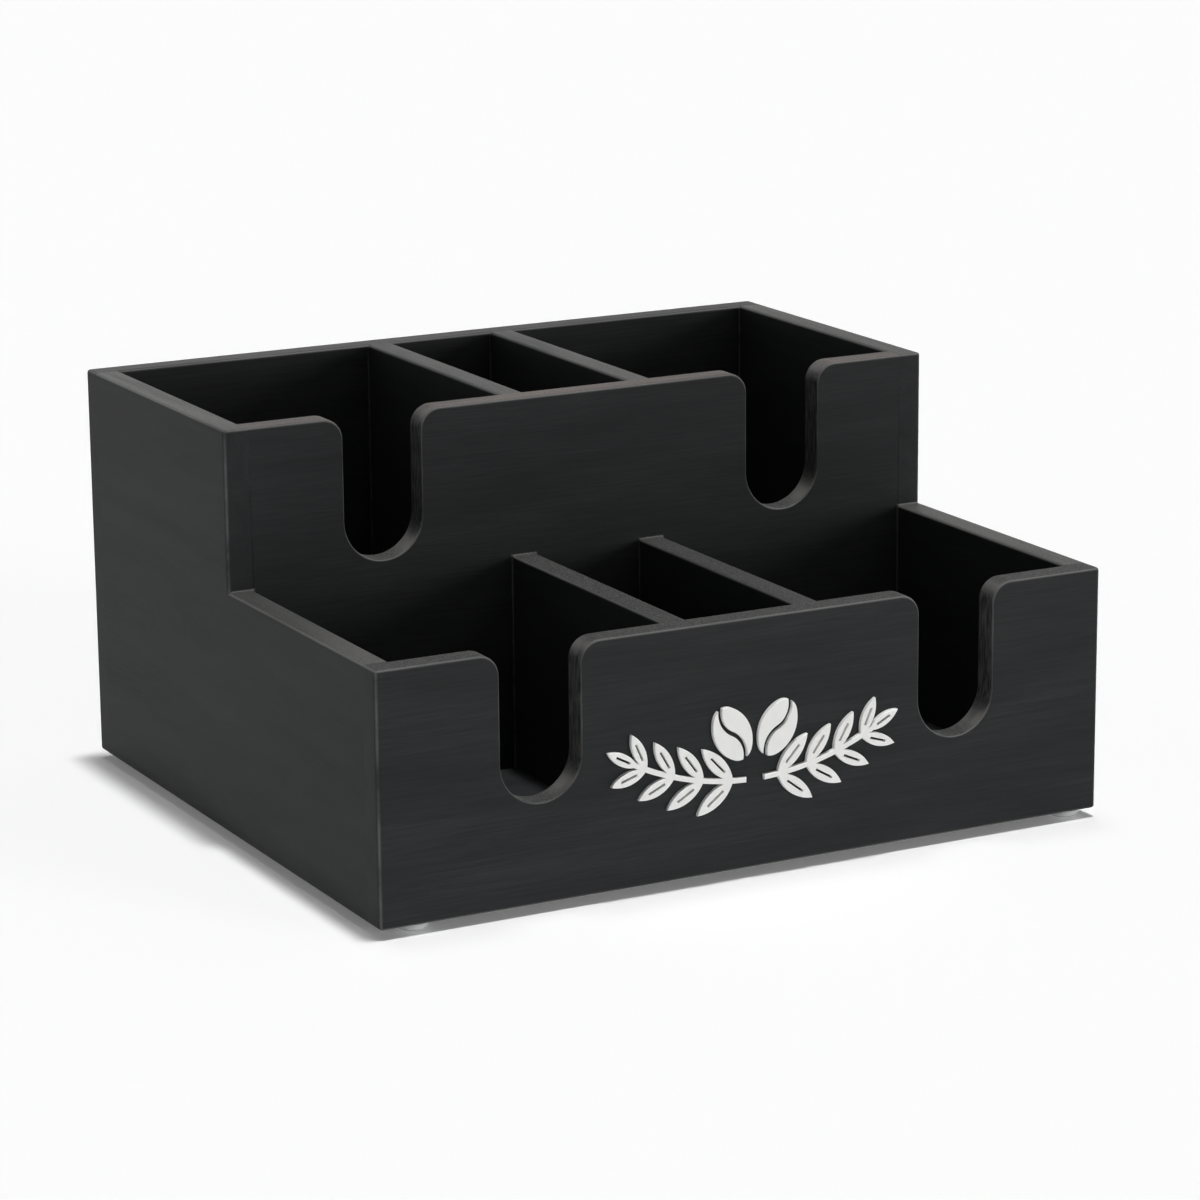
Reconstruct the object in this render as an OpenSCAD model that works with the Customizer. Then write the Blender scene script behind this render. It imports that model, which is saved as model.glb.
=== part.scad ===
// Two-tier organizer of painted wooden boards for lids, cups, sachets and stirrers.
// Six open compartments: three behind, and three in a lower tier in front of them.
// The origin lies on the resting surface, in the middle of the whole footprint.
// +X runs to the right, +Y to the back and +Z up.

/* [Overall] */
// Width across the front panel
body_w = 300; // [270:5:400]
// Depth from the front panel's face to the back panel's face
body_d = 264; // [230:2:340]
// Height of the rear tier above the boards' lower edges
rear_h = 155; // [135:1:200]
// Height of the front tier above the boards' lower edges
front_h = 94; // [80:1:115]
// Distance from the front panel's face to the riser's face
front_tier_d = 127; // [100:1:150]
// Clear width of the two middle compartments
middle_w = 45; // [34:1:70]

/* [Boards] */
// Thickness of the side panels
side_t = 10; // [8:0.5:14]
// Thickness of the front panel
front_t = 10; // [8:0.5:14]
// Thickness of the back panel
back_t = 10; // [8:0.5:14]
// Thickness of the riser between the tiers
riser_t = 10; // [8:0.5:14]
// Thickness of the dividers
divider_t = 10; // [8:0.5:14]
// Thickness of the base
base_t = 10; // [8:0.5:14]
// Radius of the eased outer edges
edge_r = 2; // [0.5:0.25:3]

/* [Finger slots] */
// Width of every slot
slot_w = 32; // [22:1:44]
// Depth of the front panel's slots below its top edge
front_slot_d = 56.5; // [35:0.5:66]
// Depth of the riser's slots below its top edge
rear_slot_d = 56; // [35:0.5:90]
// Radius of the two corners at each slot's mouth
mouth_r = 8; // [2:0.5:14]

/* [Divider housings] */
// Depth of the grooves that the dividers' ends sit in
housing_d = 2; // [1:0.25:3]
// Gap between a divider and its groove, on each side and at each end
housing_fit = 0.1; // [0.05:0.05:0.3]

/* [Brads] */
// Diameter of a brad
brad_d = 1.2; // [0.9:0.1:1.8]
// Length of a brad
brad_len = 22; // [18:1:30]
// Diameter of a brad's head
brad_head_d = 2; // [1.8:0.1:2.6]
// Thickness of a brad's head
brad_head_t = 0.8; // [0.5:0.1:1.2]
// How deep the heads are sunk below the filled and painted face
brad_sink = 1; // [0.5:0.25:2]
// Least gap between brads that cross near a corner
brad_gap = 6; // [4:1:10]
// Gap all round a brad in its hole
brad_fit = 0.05; // [0.02:0.01:0.1]
// Brads along each corner of the front tier
front_corner_brads = 3; // [2:1:5]
// Brads along each corner of the rear tier
rear_corner_brads = 4; // [2:1:6]
// Brads through a panel into each divider's end
divider_brads = 2; // [2:1:4]
// Brads through each side panel into the riser
riser_brads = 4; // [2:1:6]
// Brads through each wall into an edge of the base
base_brads = 3; // [2:1:6]

/* [Feet] */
// Diameter of a stick-on foot
foot_d = 12.7; // [8:0.1:16]
// Height of a foot
foot_h = 3.5; // [2.5:0.1:6]
// Height of the straight rim above a foot's dome
foot_rim_h = 0.8; // [0.4:0.1:1.2]
// How much of the dome's tip is flat
foot_flat = 0.3; // [0.1:0.05:0.6]
// Distance from the left face to the left feet's centres
left_foot_in = 15.5; // [8:0.5:30]
// Distance from the right face to the right feet's centres
right_foot_in = 10; // [8:0.5:30]
// Distance from the front and back faces to the feet's centres
foot_end_in = 7; // [6.5:0.5:30]

/* [Ornament] */
// Thickness of the white cut-out pieces on the front panel
ornament_t = 1.5; // [1:0.25:3]
// Height of the ornament's middle above the front panel's lower edge
ornament_z = 47; // [44:0.5:58]
// Length of a bean
bean_l = 22; // [18:0.5:23]
// Width of a bean
bean_w = 15; // [12:0.5:15.5]
// Lean of each bean away from upright
bean_lean = 28; // [0:1:45]
// Gap between the two beans
bean_gap = 2; // [1:0.25:6]
// Height of the beans' middles above the stems' lowest point
bean_lift = 18; // [18:0.5:22]
// Radius of a bean's two ends
bean_end_r = 5.4; // [4.5:0.1:5.8]
// Width of the crease across a bean
crease_w = 1.5; // [0.8:0.1:2.2]
// How far the crease bulges to each side
crease_bulge = 1.8; // [0.6:0.1:2.6]
// Width of a sprig's stem
stem_w = 2; // [1.5:0.1:3]
// Depth of the stems' lowest point below the ornament's middle
stem_drop = 13; // [10:0.5:15]
// Radius that the stems curve to
stem_r = 108; // [100:1:112]
// Angle from the curve's lowest point to where a stem starts
stem_start = 2; // [1:0.5:5]
// Angle from the curve's lowest point to where a stem ends
stem_end = 28; // [22:0.5:29]
// Pairs of leaves on each sprig
leaf_pairs = 4; // [2:1:5]
// Length of the largest leaf
leaf_l = 18.5; // [12:0.5:19]
// Length of the leaf at the tip
tip_leaf_l = 14; // [8:0.5:16]
// Width of the largest leaf
leaf_w = 6; // [4:0.25:7]
// Width of the slit along a leaf
rib_w = 0.8; // [0.5:0.1:1.2]
// Angle between a leaf and its stem
leaf_angle = 42; // [30:1:50]

/* [Hidden] */

$fn = 64;
// Overlap of a cutting shape beyond the face that it cuts
over = 1;
black = [0.16, 0.16, 0.17];
white = [0.95, 0.95, 0.94];
steel = [0.6, 0.6, 0.62];
clear = [0.85, 0.87, 0.88, 0.6];

// Where the faces lie
left_x = -body_w / 2;
front_y = (ornament_t - body_d) / 2;
back_y = front_y + body_d;
board_z = foot_h;
floor_z = board_z + base_t;
front_top_z = board_z + front_h;
rear_top_z = board_z + rear_h;
riser_y = front_y + front_tier_d;

// The dividers' middles, and the middles of the wide compartments
divider_x = (middle_w + divider_t) / 2;
wide_w = (body_w - middle_w) / 2 - side_t - divider_t;
slot_x = body_w / 2 - side_t - wide_w / 2;

// Brads stay this far from a board's end, past the brads that cross there
brad_margin = brad_len + brad_gap;
// Height of the brads that hold the base, in the middle of its edge
base_brad_z = board_z + base_t / 2;

// Where the ornament's curves and beans have their middles
stem_z = stem_r - stem_drop;
bean_x = norm([bean_w * cos(bean_lean), bean_l * sin(bean_lean)]) / 2 + bean_gap / 2;

// Share of a leaf's length that each end keeps beyond the slit
rib_share = 0.28;
// Where the first pair of leaves grows, as a share of the step from pair to pair
first_leaf_share = 0.45;

// n places along a line from lo to hi, the outer ones a margin in from its ends
function spread(n, lo, hi, margin) =
    [for (i = [0 : n - 1]) lo + margin + i * (hi - lo - 2 * margin) / (n - 1)];

// One corner of a rectangle, filled outside a quarter circle: what easing takes off
module corner_waste(r) {
    difference() {
        translate([-over, -over]) square(r + over);
        translate([r, r]) circle(r);
    }
}

// Rectangle from the origin with eased corners: lower left, lower right, upper right, upper left
module eased_rect(w, h, r, lower_left, lower_right, upper_right, upper_left) {
    difference() {
        square([w, h]);
        if (lower_left) corner_waste(r);
        if (lower_right) translate([w, 0]) mirror([1, 0]) corner_waste(r);
        if (upper_right) translate([w, h]) mirror([1, 0]) mirror([0, 1]) corner_waste(r);
        if (upper_left) translate([0, h]) mirror([0, 1]) corner_waste(r);
    }
}

// Extrudes an outline drawn in X and Z to a thickness along +Y
module extrude_y(t) {
    translate([0, t, 0]) rotate([90, 0, 0]) linear_extrude(t) children();
}

// Extrudes an outline drawn in Y and Z to a thickness along +X
module extrude_x(t) {
    rotate([90, 0, 90]) linear_extrude(t) children();
}

// Finger slot with a round end, cut down from a top edge at height 0
module slot_cut(depth) {
    r = slot_w / 2;
    translate([0, r - depth]) circle(r);
    translate([-r, r - depth]) square([slot_w, depth - r + over]);
    for (side = [0, 1]) {
        mirror([side, 0]) translate([r, 0]) mirror([0, 1]) corner_waste(mouth_r);
    }
}

// Groove for a divider's end, from the base up, with its middle at X = 0, in a face at Y = 0 towards +Y.
// A groove that stops below the board's top edge has the divider's own eased top.
module housing_cut(top_z, stopped) {
    w = divider_t + 2 * housing_fit;
    h = top_z - floor_z + (stopped ? housing_fit : over);
    translate([-w / 2, -over, floor_z]) extrude_y(housing_d + over) {
        eased_rect(w, h, edge_r + housing_fit, false, false, stopped, stopped);
    }
}

// A brad that points along +Y, its head's face at the origin; spare widens and lengthens it for a hole
module brad(spare) {
    rotate([-90, 0, 0]) {
        translate([0, 0, -spare]) cylinder(h = brad_head_t + 2 * spare, d = brad_head_d + 2 * spare);
        cylinder(h = brad_len + spare, d = brad_d + 2 * spare);
    }
}

// All the brads of one wall, or their holes
module front_brads(spare) {
    for (x = [-1, 1], z = spread(front_corner_brads, floor_z, front_top_z, brad_margin / 2)) {
        translate([x * (body_w - side_t) / 2, front_y + brad_sink, z]) brad(spare);
    }
    for (x = [-1, 1], z = spread(divider_brads, floor_z, front_top_z, brad_margin / 2)) {
        translate([x * divider_x, front_y + brad_sink, z]) brad(spare);
    }
    for (x = spread(base_brads, left_x, -left_x, side_t + brad_margin)) {
        translate([x, front_y + brad_sink, base_brad_z]) brad(spare);
    }
}

module back_brads(spare) {
    for (x = [-1, 1], z = spread(rear_corner_brads, floor_z, rear_top_z, brad_margin / 2)) {
        translate([x * (body_w - side_t) / 2, back_y - brad_sink, z]) mirror([0, 1, 0]) brad(spare);
    }
    for (x = [-1, 1], z = spread(divider_brads, floor_z, rear_top_z, brad_margin / 2)) {
        translate([x * divider_x, back_y - brad_sink, z]) mirror([0, 1, 0]) brad(spare);
    }
    for (x = spread(base_brads, left_x, -left_x, side_t + brad_margin)) {
        translate([x, back_y - brad_sink, base_brad_z]) mirror([0, 1, 0]) brad(spare);
    }
}

// The left side's; the right side mirrors them
module side_brads(spare) {
    for (z = spread(riser_brads, floor_z, rear_top_z, brad_margin / 2)) {
        translate([left_x + brad_sink, riser_y + riser_t / 2, z]) rotate([0, 0, -90]) brad(spare);
    }
    for (y = spread(base_brads, front_y, back_y, front_t + brad_margin)) {
        translate([left_x + brad_sink, y, base_brad_z]) rotate([0, 0, -90]) brad(spare);
    }
}

// Stepped side, between the front and the back panel, with its outer edges eased
module side_panel() {
    low_len = riser_y - front_y - front_t;
    high_len = back_y - back_t - riser_y;
    difference() {
        union() {
            translate([left_x, front_y + front_t, board_z]) {
                extrude_y(low_len + over) eased_rect(side_t, front_h, edge_r, true, false, false, true);
            }
            translate([left_x, riser_y, board_z]) intersection() {
                extrude_y(high_len) eased_rect(side_t, rear_h, edge_r, true, false, false, true);
                extrude_x(side_t) eased_rect(high_len, rear_h, edge_r, false, false, false, true);
                union() {
                    cube([side_t, high_len, front_h]);
                    linear_extrude(rear_h) eased_rect(side_t, high_len, edge_r, true, false, false, false);
                }
            }
        }
        side_brads(brad_fit);
        front_brads(brad_fit);
        back_brads(brad_fit);
    }
}

module left_side_panel() {
    color(black) side_panel();
}

module right_side_panel() {
    color(black) mirror([1, 0, 0]) side_panel();
}

// Full-width board with eased outer edges: its face at Y = 0 and its thickness towards +Y
module end_board(h, t) {
    intersection() {
        extrude_y(t) eased_rect(body_w, h, edge_r, true, true, true, true);
        extrude_x(body_w) eased_rect(t, h, edge_r, true, false, false, true);
        linear_extrude(h) eased_rect(body_w, t, edge_r, true, true, false, false);
    }
}

module back_panel() {
    color(black) difference() {
        translate([left_x, back_y, board_z]) mirror([0, 1, 0]) end_board(rear_h, back_t);
        for (x = [-1, 1]) {
            translate([x * divider_x, back_y - back_t, 0]) housing_cut(rear_top_z, false);
        }
        back_brads(brad_fit);
    }
}

module front_panel() {
    color(black) difference() {
        translate([left_x, front_y, board_z]) end_board(front_h, front_t);
        for (x = [-1, 1]) {
            translate([x * slot_x, front_y - over, front_top_z]) {
                extrude_y(front_t + 2 * over) slot_cut(front_slot_d);
            }
            translate([x * divider_x, front_y + front_t, 0]) {
                mirror([0, 1, 0]) housing_cut(front_top_z, false);
            }
        }
        front_brads(brad_fit);
    }
}

// Wall between the tiers: it stands on the base, between the side panels
module riser_panel() {
    w = body_w - 2 * side_t;
    color(black) difference() {
        translate([-w / 2, riser_y, floor_z]) {
            extrude_x(w) eased_rect(riser_t, rear_top_z - floor_z, edge_r, false, false, false, true);
        }
        for (x = [-1, 1]) {
            translate([x * slot_x, riser_y - over, rear_top_z]) {
                extrude_y(riser_t + 2 * over) slot_cut(rear_slot_d);
            }
            translate([x * divider_x, riser_y, 0]) housing_cut(front_top_z, true);
            translate([x * divider_x, riser_y + riser_t, 0]) {
                mirror([0, 1, 0]) housing_cut(rear_top_z, false);
            }
        }
        side_brads(brad_fit);
        mirror([1, 0, 0]) side_brads(brad_fit);
    }
}

module base_panel() {
    color(black) difference() {
        translate([left_x + side_t, front_y + front_t, board_z]) {
            cube([body_w - 2 * side_t, body_d - front_t - back_t, base_t]);
        }
        front_brads(brad_fit);
        back_brads(brad_fit);
        side_brads(brad_fit);
        mirror([1, 0, 0]) side_brads(brad_fit);
    }
}

// Divider with its two top edges eased, from one housing's bottom to the other's
module divider(x, y0, y1, top_z) {
    translate([x * divider_x - divider_t / 2, y0 - housing_d + housing_fit, floor_z]) {
        extrude_y(y1 - y0 + 2 * (housing_d - housing_fit)) {
            eased_rect(divider_t, top_z - floor_z, edge_r, false, false, true, true);
        }
    }
}

module rear_divider(x) {
    color(black) difference() {
        divider(x, riser_y + riser_t, back_y - back_t, rear_top_z);
        back_brads(brad_fit);
    }
}

module front_divider(x) {
    color(black) difference() {
        divider(x, front_y + front_t, riser_y, front_top_z);
        front_brads(brad_fit);
    }
}

module left_side_brads() {
    color(steel) side_brads(0);
}

module right_side_brads() {
    color(steel) mirror([1, 0, 0]) side_brads(0);
}

module back_panel_brads() {
    color(steel) back_brads(0);
}

module front_panel_brads() {
    color(steel) front_brads(0);
}

// Clear dome with a flat tip at Z = 0 and a flat top that sticks to the boards
module foot(x, y) {
    r = foot_d / 2;
    dome_h = foot_h - foot_rim_h + foot_flat;
    dome_r = (r * r + dome_h * dome_h) / (2 * dome_h);
    color(clear) translate([x, y, 0]) rotate_extrude() intersection() {
        square([r, foot_h]);
        union() {
            translate([0, foot_h - foot_rim_h]) square([r, foot_rim_h]);
            translate([0, dome_r - foot_flat]) circle(dome_r);
        }
    }
}

// A leaf from the origin along +X, the lens that two circles share, with a slit for its rib
module leaf(l) {
    w = leaf_w * l / leaf_l;
    r = (l * l + w * w) / (4 * w);
    difference() {
        intersection() {
            translate([l / 2, r - w / 2]) circle(r);
            translate([l / 2, w / 2 - r]) circle(r);
        }
        translate([l * rib_share, -rib_w / 2]) square([l * (1 - 2 * rib_share), rib_w]);
    }
}

// Places children on the stem's curve at an angle from its lowest point, turned along the stem
module on_stem(angle) {
    translate([stem_r * sin(angle), -stem_r * cos(angle)]) rotate(angle) children();
}

// Curved stem with pairs of leaves that shrink towards its tip, from the middle of the curve's circle
module sprig() {
    reach = 2 * stem_r;
    step = (stem_end - stem_start) / leaf_pairs;
    intersection() {
        difference() {
            circle(stem_r + stem_w / 2, $fn = 200);
            circle(stem_r - stem_w / 2, $fn = 200);
        }
        polygon([
            [0, 0],
            [reach * sin(stem_start), -reach * cos(stem_start)],
            [reach * sin(stem_end), -reach * cos(stem_end)]
        ]);
    }
    for (i = [0 : leaf_pairs - 1], side = [-1, 1]) {
        on_stem(stem_start + (i + first_leaf_share) * step) {
            rotate(side * leaf_angle) leaf(leaf_l + (tip_leaf_l - leaf_l) * i / leaf_pairs);
        }
    }
    on_stem(stem_end) translate([-1.5 * stem_w, 0]) leaf(tip_leaf_l);
}

// One turn of a bean's crease: half a wave of a band that bulges to one side
module crease_turn() {
    half = bean_l / 4;
    r = (half * half + crease_bulge * crease_bulge) / (2 * crease_bulge);
    intersection() {
        translate([crease_bulge - r, half]) difference() {
            circle(r + crease_w / 2, $fn = 128);
            circle(r - crease_w / 2, $fn = 128);
        }
        translate([-bean_w, 0]) square([2 * bean_w, bean_l]);
    }
}

// Upright oval of four arcs that meet smoothly, parted by an S-shaped crease
module bean() {
    end_z = bean_l / 2 - bean_end_r;
    slack = bean_w / 2 - bean_end_r;
    side_x = (end_z * end_z - slack * slack) / (2 * slack);
    side_r = side_x + bean_w / 2;
    meet_z = end_z * side_r / (side_r - bean_end_r);
    difference() {
        union() {
            intersection() {
                translate([side_x, 0]) circle(side_r, $fn = 128);
                translate([-side_x, 0]) circle(side_r, $fn = 128);
                square([2 * bean_w, 2 * meet_z], center = true);
            }
            for (side = [-1, 1]) {
                translate([0, side * end_z]) circle(bean_end_r);
            }
        }
        crease_turn();
        rotate(180) crease_turn();
    }
}

// Raises an ornament's outline from the front panel's face, z above the ornament's middle
module raise(z) {
    translate([0, front_y - ornament_t, board_z + ornament_z + z]) extrude_y(ornament_t) children();
}

module left_sprig() {
    color(white) raise(stem_z) mirror([1, 0]) sprig();
}

module right_sprig() {
    color(white) raise(stem_z) sprig();
}

module bean_pair() {
    color(white) raise(bean_lift - stem_drop) for (side = [0, 1]) {
        mirror([side, 0]) translate([bean_x, 0]) rotate(-bean_lean) bean();
    }
}

left_side_panel();
right_side_panel();
back_panel();
riser_panel();
front_panel();
base_panel();
rear_divider(-1);  // rear_left_divider
rear_divider(1);  // rear_right_divider
front_divider(-1);  // front_left_divider
front_divider(1);  // front_right_divider
left_side_brads();
right_side_brads();
back_panel_brads();
front_panel_brads();
foot(left_x + left_foot_in, front_y + foot_end_in);  // front_left_foot
foot(-left_x - right_foot_in, front_y + foot_end_in);  // front_right_foot
foot(left_x + left_foot_in, back_y - foot_end_in);  // rear_left_foot
foot(-left_x - right_foot_in, back_y - foot_end_in);  // rear_right_foot
left_sprig();
right_sprig();
bean_pair();
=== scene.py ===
# %% [markdown]
# A two-tier organizer of black painted boards, on four clear stick-on feet, with a white ornament
# glued to its front. The construction comes in as a fixed frame, and the pieces' places are read from
# it. A size is only written here if the frame's boxes don't give it, such as how deep a slot is, or how
# round the sandpaper and the paint leave an edge.

import math
from itertools import product

import bmesh
import bpy
from mathutils import Matrix, Vector


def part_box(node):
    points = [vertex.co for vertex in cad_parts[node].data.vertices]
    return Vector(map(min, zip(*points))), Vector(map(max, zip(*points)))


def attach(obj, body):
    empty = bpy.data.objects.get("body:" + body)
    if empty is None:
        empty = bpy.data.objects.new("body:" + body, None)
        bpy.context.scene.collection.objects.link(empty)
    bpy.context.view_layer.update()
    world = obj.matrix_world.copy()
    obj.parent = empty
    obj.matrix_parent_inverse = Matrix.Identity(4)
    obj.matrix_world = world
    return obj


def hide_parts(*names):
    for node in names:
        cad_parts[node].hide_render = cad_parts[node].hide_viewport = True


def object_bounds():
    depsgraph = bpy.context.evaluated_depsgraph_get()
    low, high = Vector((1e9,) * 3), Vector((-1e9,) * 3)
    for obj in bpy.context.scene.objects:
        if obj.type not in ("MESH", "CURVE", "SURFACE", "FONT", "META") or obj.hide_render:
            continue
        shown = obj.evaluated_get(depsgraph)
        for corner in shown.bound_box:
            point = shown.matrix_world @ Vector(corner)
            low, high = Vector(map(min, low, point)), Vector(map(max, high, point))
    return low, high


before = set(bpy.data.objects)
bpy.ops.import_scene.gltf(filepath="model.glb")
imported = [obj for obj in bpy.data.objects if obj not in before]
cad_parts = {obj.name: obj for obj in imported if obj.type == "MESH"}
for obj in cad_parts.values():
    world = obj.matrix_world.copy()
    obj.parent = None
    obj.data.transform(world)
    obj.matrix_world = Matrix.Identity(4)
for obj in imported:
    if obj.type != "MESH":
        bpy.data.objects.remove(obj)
cad_low, cad_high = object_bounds()
MM = 0.001
print("frame:", len(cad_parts), "nodes,", [round(x / MM, 1) for x in cad_high - cad_low], "mm")

# %% [markdown]
# Blender's node trees are long to write out one socket at a time. One small function adds a node,
# sets its properties and its unlinked inputs, and links the rest, so that a material reads as a list
# of its layers. Colours are written as the sRGB hex that a paint chart gives, and turned to linear.

# %% Helpers for materials
def linear(code):
    """Linear RGBA of an sRGB hex colour."""
    parts = [int(code[i:i + 2], 16) / 255 for i in (1, 3, 5)]
    return [p / 12.92 if p <= 0.04045 else ((p + 0.055) / 1.055) ** 2.4 for p in parts] + [1.0]


def add(tree, kind, inputs=None, **settings):
    """Adds a node: settings are its properties, and inputs are values or sockets to link."""
    made = tree.nodes.new(kind)
    for name, value in settings.items():
        setattr(made, name, value)
    for name, value in (inputs or {}).items():
        if isinstance(value, bpy.types.NodeSocket):
            tree.links.new(value, made.inputs[name])
        else:
            made.inputs[name].default_value = value
    return made


def new_material(name):
    """An empty material, its tree and its output node."""
    material = bpy.data.materials.new(name)
    material.use_nodes = True
    material.node_tree.nodes.clear()
    return material, material.node_tree, add(material.node_tree, "ShaderNodeOutputMaterial")


def finish_material(tree, output, shader):
    """Links the last shader to the material's output."""
    tree.links.new(shader.outputs[0], output.inputs["Surface"])


print("middle grey, #808080, is", round(linear("#808080")[0], 3), "in linear light")

# %% [markdown]
# The photograph is taken with a long lens from the front left, a little above the rims. The camera's
# place, angles and focal length were fitted to the corners of the boards. The picture is square, so
# the focal length in pixels over the picture's width is the lens over the sensor's width.

# %% Camera
PICTURE = 1200
FOCAL_PX = 4236.6
SENSOR = 36
AZIMUTH = math.radians(-27.896)
ELEVATION = math.radians(14.157)
ROLL = math.radians(-0.498)
CAMERA_AT = Vector((-0.73757, -1.40676, 0.47573))

back = Vector((
    math.sin(AZIMUTH) * math.cos(ELEVATION),
    -math.cos(AZIMUTH) * math.cos(ELEVATION),
    math.sin(ELEVATION),
))
level = Vector((math.cos(AZIMUTH), math.sin(AZIMUTH), 0))
upright = back.cross(level)
right = math.cos(ROLL) * level + math.sin(ROLL) * upright
up = back.cross(right)

camera = bpy.data.objects.new("camera", bpy.data.cameras.new("camera"))
camera.data.lens = FOCAL_PX / PICTURE * SENSOR
camera.data.sensor_width = SENSOR
camera.matrix_world = Matrix.Translation(CAMERA_AT) @ Matrix((right, up, back)).transposed().to_4x4()
bpy.context.scene.collection.objects.link(camera)
bpy.context.scene.camera = camera
print("camera: lens", round(camera.data.lens, 1), "mm")

# %% [markdown]
# Behind the object is a white studio background. The world could be one white, but a white sky lights
# the inside of every compartment. So the world has two strengths. The camera, reflections and clear
# pieces see it white, and as a light it is dim, so that the compartments stay dark.

# %% World
BACKGROUND = linear("#fcfcfc")
WORLD_LEVEL = 0.10


def seen_ray(tree):
    """1 where the camera, a reflection or a clear piece looks, and 0 for light on its way."""
    path = add(tree, "ShaderNodeLightPath")
    first = add(tree, "ShaderNodeMath", {
        0: path.outputs["Is Camera Ray"], 1: path.outputs["Is Glossy Ray"],
    }, operation="MAXIMUM")
    return add(tree, "ShaderNodeMath", {
        0: first.outputs[0], 1: path.outputs["Is Transmission Ray"],
    }, operation="MAXIMUM").outputs[0]


def make_world():
    """A world that is seen white and lights dimly."""
    world = bpy.data.worlds.new("studio")
    world.use_nodes = True
    tree = world.node_tree
    tree.nodes.clear()
    light = add(tree, "ShaderNodeBackground", {"Color": BACKGROUND, "Strength": WORLD_LEVEL})
    shown = add(tree, "ShaderNodeBackground", {"Color": BACKGROUND, "Strength": 1.0})
    mix = add(tree, "ShaderNodeMixShader", {0: seen_ray(tree), 1: light.outputs[0], 2: shown.outputs[0]})
    output = add(tree, "ShaderNodeOutputWorld")
    tree.links.new(mix.outputs[0], output.inputs["Surface"])
    bpy.context.scene.world = world
    return world


print("world:", make_world().name, "seen at 1 and lighting at", WORLD_LEVEL)

# %% [markdown]
# Broad sun lamps stand for soft boxes, because a sun lamp is as strong all over the floor. One lights
# the front from low down. One hangs almost overhead and makes the narrow shadow beside the object, and
# a weak one behind it makes the soft shadow before the front. The other two stand for white cards,
# which only show as reflections: they draw the rims. Width is how broad a lamp looks, in degrees: the
# broader it is, the softer are its shadows and highlights.

# %% Lamps
SUNS = {
    "soft_box_front": {"strength": 1.1, "width": 18, "azimuth": 32, "elevation": 4, "card": False},
    "soft_box_top": {"strength": 2.0, "width": 4.5, "azimuth": 66, "elevation": 86.3, "card": False},
    "soft_box_rear": {"strength": 0.4, "width": 12, "azimuth": 178, "elevation": 82, "card": False},
    "card_right": {"strength": 8.0, "width": 40, "azimuth": 62, "elevation": 58, "card": True},
    "card_behind": {"strength": 0.5, "width": 50, "azimuth": 178, "elevation": 26, "card": True},
}


def make_sun(name, strength, width, azimuth, elevation, card):
    """Makes a lamp, with azimuth from the front towards +X, and returns its light on a white floor."""
    lamp = bpy.data.lights.new(name, "SUN")
    lamp.energy = strength
    lamp.angle = math.radians(width)
    obj = bpy.data.objects.new(name, lamp)
    a, e = math.radians(azimuth), math.radians(elevation)
    source = Vector((math.sin(a) * math.cos(e), -math.cos(a) * math.cos(e), math.sin(e)))
    obj.rotation_mode = "QUATERNION"
    obj.rotation_quaternion = (-source).to_track_quat("-Z", "Y")
    obj.visible_diffuse = not card
    bpy.context.scene.collection.objects.link(obj)
    return 0 if card else strength * math.sin(e) / math.pi


floor_light = WORLD_LEVEL * BACKGROUND[0] + sum(make_sun(name, **sun) for name, sun in SUNS.items())
print("lamps:", len(SUNS), "and light on the floor:", round(floor_light, 2))

# %% [markdown]
# The floor is a matt paper sweep. Lit by these lamps alone it would be a shade darker than the
# background, with a line where they meet. More light would bleach the object too. So the floor glows
# by just what is missing: it reads as white, the object still shades it, and the black paint shows its
# soft image.

# %% Floor
FLOOR_SHARE = 0.95
FLOOR_HALF = 12
FLOOR_CELLS = 8


def make_floor(glow_level):
    """A large plane under the feet: its own shade, and a glow that brings it up to the background."""
    bm = bmesh.new()
    bmesh.ops.create_grid(bm, x_segments=FLOOR_CELLS, y_segments=FLOOR_CELLS, size=FLOOR_HALF)
    mesh = bpy.data.meshes.new("floor")
    bm.to_mesh(mesh)
    bm.free()
    floor = bpy.data.objects.new("floor", mesh)
    bpy.context.scene.collection.objects.link(floor)
    material, tree, output = new_material("matt_paper_sweep")
    shade = add(tree, "ShaderNodeBsdfDiffuse", {"Color": [FLOOR_SHARE] * 3 + [1.0]})
    glow = add(tree, "ShaderNodeEmission", {"Strength": glow_level})
    both = add(tree, "ShaderNodeAddShader", {0: shade.outputs[0], 1: glow.outputs[0]})
    finish_material(tree, output, both)
    mesh.materials.append(material)


glow_level = BACKGROUND[0] - FLOOR_SHARE * floor_light
make_floor(glow_level)
bpy.context.scene.view_settings.view_transform = "Standard"
print("floor: glow", round(glow_level, 2))

# %% [markdown]
# The boards are pine or poplar, brushed or sprayed with two thin coats of black water-based paint, so
# the paint wraps over every arris and bridges the joints: the real box looks like one painted shape.
# Ten separate boards with their own rounded edges would show a groove at each joint. So the boxes are
# first built as one sharp shape from the frame's planes, then every edge gets the radius that the
# paint and the sandpaper left there, and only then is the shape cut at the joints into its boards.

# %% The planes of the boards
def planes(axis, nodes):
    """The sorted places of the faces of these nodes along an axis."""
    found = sorted(corner[axis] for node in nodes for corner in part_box(node))
    return [p for i, p in enumerate(found) if i == 0 or p - found[i - 1] > MM]


side_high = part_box("left_side_panel")[1]
front_low, front_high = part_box("front_panel")
back_low, back_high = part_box("back_panel")
riser_low, riser_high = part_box("riser_panel")
base_low, base_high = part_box("base_panel")
x_planes = planes(0, ["left_side_panel", "right_side_panel", "rear_left_divider", "rear_right_divider"])
y_planes = planes(1, ["front_panel", "riser_panel", "back_panel"])
z_planes = [base_low.z, base_high.z, front_high.z, back_high.z]
print("planes:", [[round(p / MM, 2) for p in row] for row in (x_planes, y_planes, z_planes)])

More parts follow.
